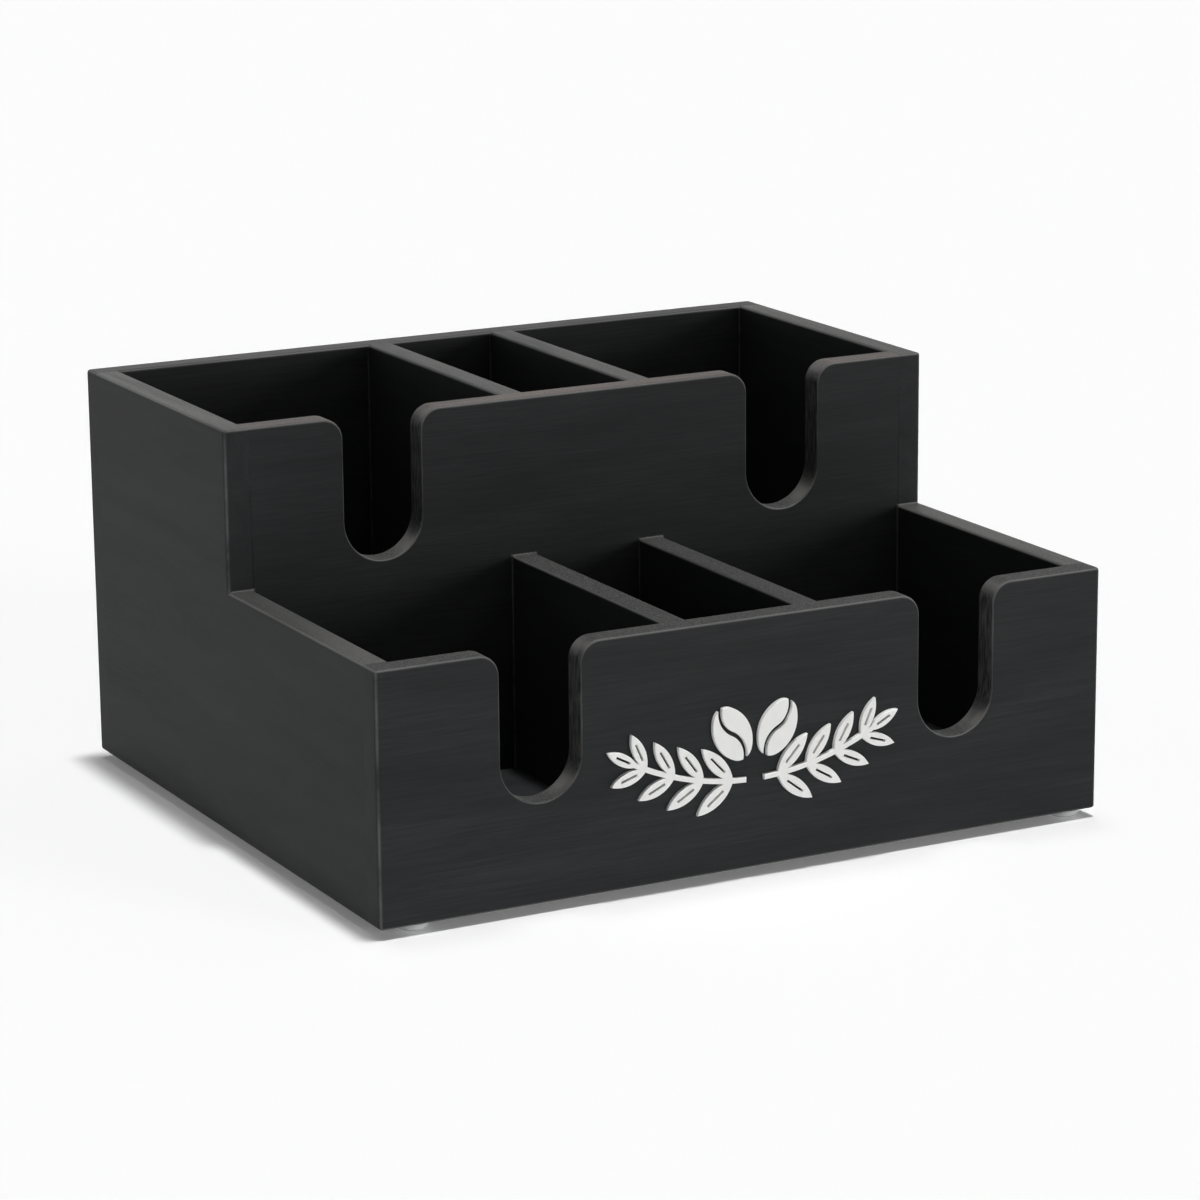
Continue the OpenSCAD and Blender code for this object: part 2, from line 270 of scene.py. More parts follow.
# %% [markdown]
# Between those planes lie cells that are either wood or air. Keeping the wooden ones and their outside
# faces gives a clean shell of quads with no boolean, which the edge rounding handles well. Seen from
# above, every other row and column of cells is a board. The lowest layer is all wood, for the base, and
# the top layer only starts at the riser.

# %% The sharp shape
RISER_CELL = 2


def is_wood(i, j, k):
    """Whether the cell between planes i and i + 1, j and j + 1, k and k + 1 is wood."""
    cell_counts = [len(row) - 1 for row in (x_planes, y_planes, z_planes)]
    if not all(0 <= n < count for n, count in zip((i, j, k), cell_counts)):
        return False
    in_board = i % 2 == 0 or j % 2 == 0
    if k == 0:
        return True
    if k == 1:
        return in_board
    return j >= RISER_CELL and in_board


def cell_shell():
    """The outside faces of all the wooden cells, joined at their corners."""
    bm = bmesh.new()
    corners = {}

    def corner(i, j, k):
        if (i, j, k) not in corners:
            corners[i, j, k] = bm.verts.new((x_planes[i], y_planes[j], z_planes[k]))
        return corners[i, j, k]

    steps = ((1, 0, 0), (0, 1, 0), (0, 0, 1))
    ring = [(0, 0), (1, 0), (1, 1), (0, 1)]
    for cell in product(*(range(len(row) - 1) for row in (x_planes, y_planes, z_planes))):
        if not is_wood(*cell):
            continue
        for (axis, step), far in product(enumerate(steps), (0, 1)):
            sign = 1 if far else -1
            if is_wood(*(c + sign * s for c, s in zip(cell, step))):
                continue
            at = [c + far * s for c, s in zip(cell, step)]
            u, v = steps[(axis + 1) % 3], steps[(axis + 2) % 3]
            bm.faces.new([
                corner(*(at[n] + a * u[n] + b * v[n] for n in range(3)))
                for a, b in (ring if far else reversed(ring))
            ])
    return bm


def to_object(bm, name):
    """An object in the scene with the mesh of a bmesh, which it frees."""
    mesh = bpy.data.meshes.new(name)
    bm.to_mesh(mesh)
    bm.free()
    obj = bpy.data.objects.new(name, mesh)
    bpy.context.scene.collection.objects.link(obj)
    return obj


body = to_object(cell_shell(), "all_boards")
print("sharp shape:", len(body.data.polygons), "faces")

# %% [markdown]
# Each wide compartment has a finger slot in the wall before it: a bandsaw cut with a round end, whose
# mouth is rounded over into the rim. It could be drawn into the shell vertex by vertex, but a cutter
# is shorter: one outline of arcs, pushed through the wall and taken off with a boolean.

# %% The outline of a slot
SLOT_R = 16 * MM
MOUTH_R = 8 * MM
FRONT_SLOT_D = 56.5 * MM
REAR_SLOT_D = 56 * MM
ARC_STEPS = 32
MOUTH_STEPS = 10
SPARE = 4 * MM
slot_x = (x_planes[-2] + x_planes[-3]) / 2


def slot_outline(top, depth):
    """Half of the cutter's outline in X and Z, from the mouth down to the slot's middle."""
    points = [(SLOT_R + MOUTH_R, top + SPARE)]
    for i in range(MOUTH_STEPS + 1):
        a = math.pi / 2 * (1 + i / MOUTH_STEPS)
        points.append((SLOT_R + MOUTH_R + MOUTH_R * math.cos(a), top - MOUTH_R + MOUTH_R * math.sin(a)))
    for i in range(ARC_STEPS // 2 + 1):
        a = math.pi / ARC_STEPS * i
        points.append((SLOT_R * math.cos(a), top - depth + SLOT_R - SLOT_R * math.sin(a)))
    return points


def slot_cutter(middle, low_y, high_y, top, depth):
    """A solid of both halves of the outline, a little longer than the wall is thick."""
    half = slot_outline(top, depth)
    ring = [(middle + x, z) for x, z in half] + [(middle - x, z) for x, z in reversed(half[:-1])]
    bm = bmesh.new()
    near = [bm.verts.new((x, low_y - SPARE, z)) for x, z in ring]
    far = [bm.verts.new((x, high_y + SPARE, z)) for x, z in ring]
    bm.faces.new(near)
    bm.faces.new(list(reversed(far)))
    for i in range(len(ring)):
        n = (i + 1) % len(ring)
        bm.faces.new((near[n], near[i], far[i], far[n]))
    bmesh.ops.recalc_face_normals(bm, faces=bm.faces)
    return to_object(bm, "cutter")


print("slot middles at", round(slot_x / MM, 2), "mm to each side")

# %% [markdown]
# A boolean modifier stays live until the mesh is replaced by what it makes. Each cut is baked at once,
# so that the next step sees plain faces and edges, and the cutter goes.

# %% Cutting the slots
def bake(obj):
    """Replaces an object's mesh by what its modifiers make of it."""
    graph = bpy.context.evaluated_depsgraph_get()
    mesh = bpy.data.meshes.new_from_object(obj.evaluated_get(graph))
    old = obj.data
    obj.modifiers.clear()
    obj.data = mesh
    bpy.data.meshes.remove(old)


def boolean(obj, operation, other):
    """Cuts one object with another, or keeps what they share, and bakes it."""
    modifier = obj.modifiers.new("cut", "BOOLEAN")
    modifier.operation = operation
    modifier.solver = "EXACT"
    modifier.object = other
    bake(obj)


def drop(obj):
    """Removes an object and its mesh."""
    mesh = obj.data
    bpy.data.objects.remove(obj)
    bpy.data.meshes.remove(mesh)


walls_with_slots = (
    (front_low.y, front_high.y, front_high.z, FRONT_SLOT_D),
    (riser_low.y, riser_high.y, riser_high.z, REAR_SLOT_D),
)
for low_y, high_y, top, depth in walls_with_slots:
    for middle in (-slot_x, slot_x):
        cutter = slot_cutter(middle, low_y, high_y, top, depth)
        boolean(body, "DIFFERENCE", cutter)
        drop(cutter)
print("with slots:", len(body.data.polygons), "faces")

# %% [markdown]
# Every edge keeps the radius that it has on the real object. The rims that hands touch are sanded
# rounder than the slots, the outer upright corners are the roundest, and in the inner corners the
# paint gathers into a small fillet that catches a thin line of light. The corners along the base have
# none, because they lie in the dark. From a rim down into a slot, the radius shrinks over the height
# of the mouth.

# %% The radius of an edge
RIM_R = 1.2 * MM
SLOT_EDGE_R = 0.8 * MM
OUTER_R = 1.6 * MM
BOTTOM_R = 1.2 * MM
PAINT_FILLET = 0.7 * MM
SHARP = math.radians(35)
UPRIGHT = 0.5
NEAR = MM / 10


def in_slot_edge(middle, wall):
    """Whether a point lies on a slot's edge in this wall, below the rim."""
    low_y, high_y, top, depth = wall
    in_wall = low_y - NEAR < middle.y < high_y + NEAR
    beside = abs(abs(middle.x) - slot_x) < SLOT_R + MOUTH_R
    return in_wall and beside and top - depth - MM < middle.z < top - NEAR / 2


def edge_radius(edge):
    """The radius of an edge, from where it lies and whether it is an outer or an inner corner."""
    if len(edge.link_faces) != 2:
        return 0
    turn = edge.calc_face_angle_signed(0)
    if abs(turn) < SHARP:
        return 0
    middle = (edge.verts[0].co + edge.verts[1].co) / 2
    along = (edge.verts[1].co - edge.verts[0].co).normalized()
    if turn < 0:
        on_base = middle.z < base_high.z + MM and abs(along.z) < UPRIGHT
        return 0 if on_base else PAINT_FILLET
    for wall in walls_with_slots:
        if in_slot_edge(middle, wall):
            top = wall[2]
            below = min(1, (top - middle.z) / MOUTH_R)
            return RIM_R + (SLOT_EDGE_R - RIM_R) * below
    if middle.z < base_low.z + NEAR:
        return BOTTOM_R
    return OUTER_R if abs(along.z) > UPRIGHT else RIM_R


print("radii from", round(SLOT_EDGE_R / MM, 2), "to", round(OUTER_R / MM, 2), "mm")

# %% [markdown]
# One bevel rounds all the edges, with a weight on each, because separate bevels would not meet in
# clean corners. The weights are shares of the rim's radius. A bevel that clamps overlaps would shrink
# every radius to suit the tightest spot, so that is off, and the radii are kept small enough to fit.

# %% Rounding
BEVEL_STEPS = 4
WELD = MM / 1000


def round_edges(obj):
    """Rounds every edge of an object to its radius, and counts the edges of each radius in mm."""
    bm = bmesh.new()
    bm.from_mesh(obj.data)
    bmesh.ops.remove_doubles(bm, verts=bm.verts, dist=WELD)
    bmesh.ops.dissolve_degenerate(bm, edges=bm.edges, dist=WELD)
    layers = bm.edges.layers.float
    weight = layers.get("bevel_weight_edge") or layers.new("bevel_weight_edge")
    counts = {}
    for edge in bm.edges:
        radius = edge_radius(edge)
        edge[weight] = radius / RIM_R
        shown = round(radius / MM, 2)
        counts[shown] = counts.get(shown, 0) + 1
    bm.to_mesh(obj.data)
    bm.free()
    modifier = obj.modifiers.new("rounding", "BEVEL")
    modifier.limit_method = "WEIGHT"
    modifier.width = RIM_R
    modifier.segments = BEVEL_STEPS
    modifier.use_clamp_overlap = False
    bake(obj)
    return counts


print("radii in mm and edges:", round_edges(body))
print("rounded:", len(body.data.polygons), "faces")

# %% [markdown]
# Now the painted shape is cut at its joints, each board inside its own box. The front and back panels
# run the full width, the riser and the base lie between the sides, and the dividers take what is left
# with the paint at their ends. A side's box reaches a little further in, so that the paint in its
# corners goes with it. Cutting in that order gives every bit of wood to one board.

# %% Cutting out the boards
def block(low, high):
    """A box to cut with."""
    bm = bmesh.new()
    bmesh.ops.create_cube(bm, size=1)
    for vert in bm.verts:
        vert.co = Vector(low[n] if vert.co[n] < 0 else high[n] for n in range(3))
    return to_object(bm, "block")


def cut_off(low, high, name):
    """Cuts what lies in a box off the body, as a new object."""
    piece = bpy.data.objects.new(name, body.data.copy())
    bpy.context.scene.collection.objects.link(piece)
    cutter = block(low, high)
    boolean(piece, "INTERSECT", cutter)
    boolean(body, "DIFFERENCE", cutter)
    drop(cutter)
    return piece


out = Vector((SPARE, SPARE, SPARE))
whole_low, whole_high = cad_low - out, cad_high + out
boxes = {
    "front_panel": (whole_low, (whole_high.x, front_high.y, whole_high.z)),
    "back_panel": ((whole_low.x, back_low.y, whole_low.z), whole_high),
    "riser_panel": ((base_low.x, riser_low.y, base_high.z), (base_high.x, riser_high.y, whole_high.z)),
    "base_panel": ((base_low.x, base_low.y, whole_low.z), (base_high.x, base_high.y, base_high.z)),
    "left_side_panel": (whole_low, (side_high.x + SPARE, whole_high.y, whole_high.z)),
    "right_side_panel": ((-side_high.x - SPARE, whole_low.y, whole_low.z), whole_high),
    "front_left_divider": (whole_low, (0, riser_low.y, whole_high.z)),
    "front_right_divider": ((0, whole_low.y, whole_low.z), (whole_high.x, riser_low.y, whole_high.z)),
    "rear_left_divider": (whole_low, (0, whole_high.y, whole_high.z)),
    "rear_right_divider": ((0, whole_low.y, whole_low.z), whole_high),
}
boards = {node: cut_off(low, high, node + "_painted") for node, (low, high) in boxes.items()}
print("left over:", len(body.data.polygons), "faces")
drop(body)

# %% [markdown]
# One joint shows on the real box: a hairline down each side of the riser, where the paint sank between
# the boards. A painted line would stay flat, so the riser's two front corners get a bevel of a fifth
# of a millimetre, which makes a real groove against the side panels.

# %% The riser's joints
JOINT_LINE = 0.22 * MM
ON_PLANE = MM / 100


def ease_riser_joints(riser):
    """Bevels the riser's upright front corners above the step, and says how many edges they have."""
    bm = bmesh.new()
    bm.from_mesh(riser.data)
    joint = [
        edge for edge in bm.edges
        if all(abs(abs(vert.co.x) - base_high.x) < ON_PLANE for vert in edge.verts)
        and all(abs(vert.co.y - riser_low.y) < ON_PLANE for vert in edge.verts)
        and all(vert.co.z > front_high.z for vert in edge.verts)
    ]
    count = len(joint)
    bmesh.ops.bevel(bm, geom=joint, offset=JOINT_LINE, segments=2, affect="EDGES")
    bm.to_mesh(riser.data)
    bm.free()
    return count


print("hairline joints:", ease_riser_joints(boards["riser_panel"]), "edges")

# %% [markdown]
# The radii have few faces, so they are shaded smooth. Smooth shading alone would also bend the light
# on the flat faces beside them. Weighted normals give the large faces their own direction back, and
# corners that turn by more than SHARP stay crisp.

# %% Shading
CLOSE = MM / 500


def soften(obj):
    """Smooth shading that keeps flat faces flat: angles over SHARP stay crisp."""
    bm = bmesh.new()
    bm.from_mesh(obj.data)
    bmesh.ops.remove_doubles(bm, verts=bm.verts, dist=CLOSE)
    bmesh.ops.dissolve_degenerate(bm, edges=bm.edges, dist=CLOSE)
    for face in bm.faces:
        face.smooth = True
    for edge in bm.edges:
        edge.smooth = len(edge.link_faces) == 2 and edge.calc_face_angle(0) < SHARP
    bm.to_mesh(obj.data)
    bm.free()
    normals = obj.modifiers.new("flat_faces", "WEIGHTED_NORMAL")
    normals.keep_sharp = True


for board in boards.values():
    soften(board)
print("boards:", {node: len(board.data.polygons) for node, board in boards.items()})

# %% [markdown]
# The finish is black water-based paint on wood. It dries semi-matt, so it takes soft gradients and no
# mirror image. Two coats are thinner than the wood's grain is deep: long streaks and short open pores
# stay as relief and as slight changes of gloss. On the rims and arrises the coat is thin and rubbed, and
# their lighter colour is that wear and also a painted highlight where they catch the light. The front
# panel's rims are painted lighter as highlight and the back panel's darker as shade, and the riser's rim
# lets some brown wood through. All pattern sizes are real ones but two: pores are some 0.1 mm wide and
# saw marks 0.2 mm, too fine for the picture, so both are drawn as wide as they need to be to show.

# %% The paint's colours and the wood's scales
PAINT = linear("#272829")
PAINT_STREAK = linear("#343536")
# Arrises: paint rubbed thin, and a painted highlight where the rounded edges catch the light.
RUBBED_ARRIS_AND_HIGHLIGHT = linear("#626160")
# Rims: thin worn paint, and a painted highlight where the tops catch the light.
RIM_WEAR_AND_LIGHT = linear("#5c5b59")
# The front panel's rims are painted lighter as highlight, and the back panel's darker as painted shade.
RIM_WEAR_LIGHT_AND_SHADE = {
    "riser_panel": linear("#665c56"),
    "front_panel": linear("#7c7c7a"),
    "back_panel": linear("#353433"),
}
GRAIN = (22 * MM, 0.7 * MM)
FIGURE = (120 * MM, 14 * MM)
PORE = (9 * MM, 0.4 * MM)
SAW_MARK = (8 * MM, 0.6 * MM)
SPECKLE = 0.8 * MM
PEEL = 1.6 * MM
for pattern, cell in (("figure", FIGURE), ("grain", GRAIN), ("pores", PORE), ("saw marks", SAW_MARK)):
    print(pattern, "in mm, long and wide:", [round(x / MM, 1) for x in cell])

# %% [markdown]
# Where the paint is thin, and where the rims and edges get their painted highlight, follows from the
# shape, so it needs no painted mask. A point whose normal leans away from all three axes lies on a
# rounded edge. A face that looks up is a rim if it is high on its board, and the floor of a slot if it
# isn't. Where the saw crossed the fibres, in the slots, the end grain drinks the paint and stays rough,
# but the boards' outer ends are filled and sanded. Each share fades in between two values, so that the
# wear and the painted highlight have no hard border.

# %% Where the paint is thin and where it catches the light
ROUNDED = (0.985, 0.80)
CUT_ACROSS = (0.6, 0.95)
LOOKS_UP = (0.6, 0.9)


def wear_and_light_shares(tree, place, axis, rim_height):
    """Shares from 0 to 1 of rounded edge, of rim and of end grain, for a grain that runs along an axis."""
    normal = add(tree, "ShaderNodeNewGeometry").outputs["Normal"]
    size = add(tree, "ShaderNodeVectorMath", {0: normal}, operation="ABSOLUTE").outputs[0]
    sides = add(tree, "ShaderNodeSeparateXYZ", {0: size}).outputs
    larger = add(tree, "ShaderNodeMath", {0: sides[0], 1: sides[1]}, operation="MAXIMUM").outputs[0]
    largest = add(tree, "ShaderNodeMath", {0: larger, 1: sides[2]}, operation="MAXIMUM").outputs[0]
    arris = add(tree, "ShaderNodeMapRange", {
        "Value": largest, "From Min": ROUNDED[0], "From Max": ROUNDED[1],
    }).outputs[0]
    across = add(tree, "ShaderNodeMapRange", {
        "Value": sides[axis], "From Min": CUT_ACROSS[0], "From Max": CUT_ACROSS[1],
    }).outputs[0]
    upward = add(tree, "ShaderNodeMapRange", {
        "Value": sides[2], "From Min": LOOKS_UP[0], "From Max": LOOKS_UP[1],
    }).outputs[0]

    height = add(tree, "ShaderNodeSeparateXYZ", {0: place}).outputs[2]
    high = add(tree, "ShaderNodeMath", {0: height, 1: rim_height}, operation="GREATER_THAN").outputs[0]
    on_rim = add(tree, "ShaderNodeMath", {0: upward, 1: high}, operation="MULTIPLY").outputs[0]
    above_base = add(tree, "ShaderNodeMath", {
        0: height, 1: base_high.z + MM,
    }, operation="GREATER_THAN").outputs[0]
    below_rim = add(tree, "ShaderNodeMath", {0: above_base, 1: high}, operation="SUBTRACT").outputs[0]
    slot_floor = add(tree, "ShaderNodeMath", {0: upward, 1: below_rim}, operation="MULTIPLY").outputs[0]

    outward = add(tree, "ShaderNodeVectorMath", {0: place}, operation="ABSOLUTE").outputs[0]
    off_middle = add(tree, "ShaderNodeSeparateXYZ", {0: outward}).outputs[0]
    inside = add(tree, "ShaderNodeMath", {
        0: off_middle, 1: base_high.x,
    }, operation="LESS_THAN").outputs[0]
    cut_end = add(tree, "ShaderNodeMath", {0: across, 1: inside}, operation="MULTIPLY").outputs[0]
    end_grain = add(tree, "ShaderNodeMath", {0: cut_end, 1: slot_floor}, operation="MAXIMUM").outputs[0]
    return arris, on_rim, end_grain


print("slot floors lie over", round((base_high.z + MM) / MM, 1), "mm")

# %% [markdown]
# Wood is a bundle of fibres, so its patterns are long along the board and narrow across it. A noise
# gets that shape when its coordinates are divided by a cell's length on one axis and by its width on
# the other two. Each board moves its noise elsewhere, so that no two boards match.

# %% Streaks along a board
BOARD_SHIFT = (7.3, 3.1, 5.7)


def streaks_along(tree, place, axis, seed, cell, **noise):
    """A noise whose cells have this length along an axis and this width across it."""
    length, width = cell
    fitted = add(tree, "ShaderNodeMapping", {
        "Vector": place,
        "Scale": [1 / length if n == axis else 1 / width for n in range(3)],
        "Location": [seed * shift for shift in BOARD_SHIFT],
    }).outputs[0]
    return add(tree, "ShaderNodeTexNoise", {"Vector": fitted, "Scale": 1.0, **noise}).outputs["Fac"]


print("a grain cell is", round(GRAIN[0] / GRAIN[1]), "times as long as it is wide")

# %% [markdown]
# The colour is built in layers, as the coat wore. Under all is the paint with its streaks. Over it the
# saw marks show on end grain, then the rims, worn in patches and flecks, and last the rubbed arrises.
# Rims and arrises are lighter by wear and also by a painted highlight, where they catch the light. Each
# layer is a mix by a share that the shape and a pattern give together. Between patches the rims and
# arrises keep a quarter of their wear.

# %% The colour of the paint
STREAK_FADE = (0.1, 0.45)
PATCH_FADE = (0.3, 0.6)
FLECK_FADE = (0.35, 0.65)
SAW_FADE = (0.4, 0.65)
LEAST_WEAR = 0.25
MOST_SAWN = 0.8


def colour_with_wear_and_highlights(tree, grain, figure, saw, speckle, wear_and_light, worn_and_lit_rim):
    """The paint's colour: streaks, saw marks, and rims and arrises lighter by wear and painted highlight.
    """
    arris, on_rim, end_grain = wear_and_light
    streaks = add(tree, "ShaderNodeMath", {0: grain, 1: figure}, operation="MULTIPLY").outputs[0]
    shade = add(tree, "ShaderNodeMapRange", {
        "Value": streaks, "From Min": STREAK_FADE[0], "From Max": STREAK_FADE[1],
    }).outputs[0]
    patches = add(tree, "ShaderNodeMapRange", {
        "Value": figure, "From Min": PATCH_FADE[0], "From Max": PATCH_FADE[1], "To Min": LEAST_WEAR,
    }).outputs[0]
    saw_marks = add(tree, "ShaderNodeMapRange", {
        "Value": saw, "From Min": SAW_FADE[0], "From Max": SAW_FADE[1], "To Max": MOST_SAWN,
    }).outputs[0]
    flecks = add(tree, "ShaderNodeMapRange", {
        "Value": speckle, "From Min": FLECK_FADE[0], "From Max": FLECK_FADE[1], "To Min": LEAST_WEAR,
    }).outputs[0]
    saw_share = add(tree, "ShaderNodeMath", {0: end_grain, 1: saw_marks}, operation="MULTIPLY").outputs[0]
    # The rim and arris shares paint those places lighter: worn paint and painted highlight together.
    patchy_rim = add(tree, "ShaderNodeMath", {0: on_rim, 1: patches}, operation="MULTIPLY").outputs[0]
    rim_wear_and_light_share = add(tree, "ShaderNodeMath", {0: patchy_rim, 1: flecks}, operation="MULTIPLY").outputs[0]
    rub_and_highlight = add(tree, "ShaderNodeMath", {0: arris, 1: patches}, operation="MULTIPLY").outputs[0]

    colour = add(tree, "ShaderNodeMix", {
        "Factor": shade, 6: PAINT, 7: PAINT_STREAK,
    }, data_type="RGBA").outputs[2]
    for share, layer in ((saw_share, RIM_WEAR_AND_LIGHT), (rim_wear_and_light_share, worn_and_lit_rim), (rub_and_highlight, RUBBED_ARRIS_AND_HIGHLIGHT)):
        colour = add(tree, "ShaderNodeMix", {
            "Factor": share, 6: colour, 7: layer,
        }, data_type="RGBA").outputs[2]
    return colour


# Own rim colours: the riser's browner wear, the front panel's painted highlight, the back's painted shade.
print("worn rims of their own:", ", ".join(RIM_WEAR_LIGHT_AND_SHADE))

# %% [markdown]
# The relief is worked out in metres, so the bump node has a distance of 1, and its strength only says
# what share of the relief the paint leaves. Flat faces show grain, and pores that go down by most of
# the grain's height. Worn places are flecked, and end grain is as deep as the saw left it. A faint
# orange peel from the spray lies over everything.

# %% The relief of the paint
GRAIN_DEPTH = 0.06 * MM
OPEN_GRAIN_DEPTH = 3 * GRAIN_DEPTH
PEEL_DEPTH = 0.012 * MM
PORE_DEPTH = -0.8
BUMP_SHARE = 0.6


def paint_relief(tree, grain, open_pore, saw, speckle, peel, wear_and_light):
    """The height of the painted surface, as a bumped normal."""
    arris, on_rim, end_grain = wear_and_light
    nicked = add(tree, "ShaderNodeMath", {0: arris, 1: on_rim}, operation="MAXIMUM").outputs[0]
    open_grain = add(tree, "ShaderNodeMath", {0: nicked, 1: end_grain}, operation="MAXIMUM").outputs[0]
    pored = add(tree, "ShaderNodeMath", {
        0: open_pore, 1: PORE_DEPTH, 2: grain,
    }, operation="MULTIPLY_ADD").outputs[0]
    flecked = add(tree, "ShaderNodeMix", {"Factor": nicked, 2: pored, 3: speckle}).outputs[0]
    sawn = add(tree, "ShaderNodeMix", {"Factor": end_grain, 2: flecked, 3: saw}).outputs[0]
    depth = add(tree, "ShaderNodeMapRange", {
        "Value": open_grain, "To Min": GRAIN_DEPTH, "To Max": OPEN_GRAIN_DEPTH,
    }).outputs[0]
    relief = add(tree, "ShaderNodeMath", {0: sawn, 1: depth}, operation="MULTIPLY").outputs[0]
    height = add(tree, "ShaderNodeMath", {
        0: peel, 1: PEEL_DEPTH, 2: relief,
    }, operation="MULTIPLY_ADD").outputs[0]
    return add(tree, "ShaderNodeBump", {
        "Height": height, "Distance": 1.0, "Strength": BUMP_SHARE,
    }).outputs[0]


print("grain and open grain in mm:", [round(depth / MM, 2) for depth in (GRAIN_DEPTH, OPEN_GRAIN_DEPTH)])

# %% [markdown]
# Now the layers come together. The paint has the IOR of a dried acrylic film, but a low specular level,
# because its surface is broken up by grain finer than the picture and sends little light one way. Its
# roughness lies round one half, varies with the grain, and is higher on end grain. Most values of a
# noise lie between 0.3 and 0.7, so that span is what roughness is mapped from, here and below. Only
# the highest values of the pore noise are pores, so that they lie apart from each other.

# %% Painted wood
NOISE_SPAN = (0.3, 0.7)
PORE_FADE = (0.68, 0.76)
PAINT_ROUGHNESS = (0.44, 0.56)
END_ROUGHER = 0.2
PAINT_IOR = 1.45
PAINT_SPECULAR = 0.06


def painted_wood(name, axis, seed, rim_height, worn_and_lit_rim):
    """Thin black paint over a board whose grain runs along an axis: 0 is X and 1 is Y."""
    material, tree, output = new_material(name)
    place = add(tree, "ShaderNodeTexCoord").outputs["Object"]
    wear_and_light = wear_and_light_shares(tree, place, axis, rim_height)
    end_grain = wear_and_light[2]
    grain = streaks_along(tree, place, axis, seed, GRAIN, Detail=4.0, Roughness=0.6, Distortion=0.2)
    figure = streaks_along(tree, place, axis, seed + 1, FIGURE, Detail=3.0, Roughness=0.5, Distortion=0.6)
    pores = streaks_along(tree, place, axis, seed + 2, PORE, Detail=1.0, Roughness=0.5)
    saw = streaks_along(tree, place, 2, seed + 3, SAW_MARK, Detail=2.0, Roughness=0.6, Distortion=0.5)
    open_pore = add(tree, "ShaderNodeMapRange", {
        "Value": pores, "From Min": PORE_FADE[0], "From Max": PORE_FADE[1],
    }).outputs[0]
    peel = add(tree, "ShaderNodeTexNoise", {
        "Vector": place, "Scale": 1 / PEEL, "Detail": 2.0, "Roughness": 0.5,
    }).outputs["Fac"]
    speckle = add(tree, "ShaderNodeTexNoise", {
        "Vector": place, "Scale": 1 / SPECKLE, "Detail": 3.0, "Roughness": 0.65,
    }).outputs["Fac"]
    gloss = add(tree, "ShaderNodeMapRange", {
        "Value": grain, "From Min": NOISE_SPAN[0], "From Max": NOISE_SPAN[1],
        "To Min": PAINT_ROUGHNESS[0], "To Max": PAINT_ROUGHNESS[1],
    }).outputs[0]
    rough = add(tree, "ShaderNodeMath", {
        0: end_grain, 1: END_ROUGHER, 2: gloss,
    }, operation="MULTIPLY_ADD").outputs[0]
    shader = add(tree, "ShaderNodeBsdfPrincipled", {
        "Base Color": colour_with_wear_and_highlights(tree, grain, figure, saw, speckle, wear_and_light, worn_and_lit_rim),
        "Normal": paint_relief(tree, grain, open_pore, saw, speckle, peel, wear_and_light),
        "Roughness": rough, "Specular IOR Level": PAINT_SPECULAR, "IOR": PAINT_IOR,
    })
    finish_material(tree, output, shader)
    return material


ALONG_X = ("front_panel", "back_panel", "riser_panel", "base_panel")
for seed, (node, board) in enumerate(boards.items()):
    top = front_high.z if "side" in node else boxes[node][1][2]
    rim_height = base_high.z + MM if node == "base_panel" else top - MOUTH_R
    axis = 0 if node in ALONG_X else 1
    paint = painted_wood(node + "_paint", axis, seed, rim_height, RIM_WEAR_LIGHT_AND_SHADE.get(node, RIM_WEAR_AND_LIGHT))
    board.data.materials.clear()
    board.data.materials.append(paint)
    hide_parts(node)
    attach(board, "root")
print("painted:", len(boards), "boards")

# %% [markdown]
# The feet are cast polyurethane bumpers, domed by surface tension as they set, and stuck on by their
# flat tops. The material is clear and slightly soft in its gloss, so a foot shows as a bright sliver
# with a dark rim between the boards and the floor. Fully clear ones would show only the dark wood
# above them, so a share of the light is scattered inside, as in a cast that isn't quite clear.

# %% Polyurethane
HAZE = 0.9 * MM
BUMPER_ROUGHNESS = (0.03, 0.12)


def polyurethane():
    """Clear cast polyurethane with a little haze."""
    material, tree, output = new_material("clear_cast_polyurethane")
    place = add(tree, "ShaderNodeTexCoord").outputs["Object"]
    haze = add(tree, "ShaderNodeTexNoise", {"Vector": place, "Scale": 1 / HAZE, "Detail": 2.0})
    rough = add(tree, "ShaderNodeMapRange", {
        "Value": haze.outputs["Fac"], "From Min": NOISE_SPAN[0], "From Max": NOISE_SPAN[1],
        "To Min": BUMPER_ROUGHNESS[0], "To Max": BUMPER_ROUGHNESS[1],
    })
    shader = add(tree, "ShaderNodeBsdfPrincipled", {
        "Base Color": linear("#eef1f1"), "Roughness": rough.outputs[0],
        "Transmission Weight": 0.45, "IOR": 1.49,
    })
    finish_material(tree, output, shader)
    return material


clear = polyurethane()
print("feet in", clear.name)

# %% [markdown]
# A foot is round, so it could be a squashed sphere, but that has no straight rim and no flat tip. One
# outline turned about its axis has both: a flat tip, a dome that a slightly flattened sine gives, and
# a straight rim up to the top.

# %% Feet
FOOT_FLAT = 0.3 * MM
FOOT_RIM = 0.8 * MM
DOME_STEPS = 12
DOME_FLATTENING = 0.9
FOOT_SIDES = 64


def foot_outline(radius, height):
    """Points in radius and height, from the middle of the tip round to the middle of the top."""
    dome = height - FOOT_RIM
    points = [(0, 0)]
    for i in range(DOME_STEPS + 1):
        a = math.pi / 2 * i / DOME_STEPS
        reach = FOOT_FLAT + (radius - FOOT_FLAT) * math.sin(a) ** DOME_FLATTENING
        points.append((reach, dome * (1 - math.cos(a))))
    return points + [(radius, height), (0, height)]


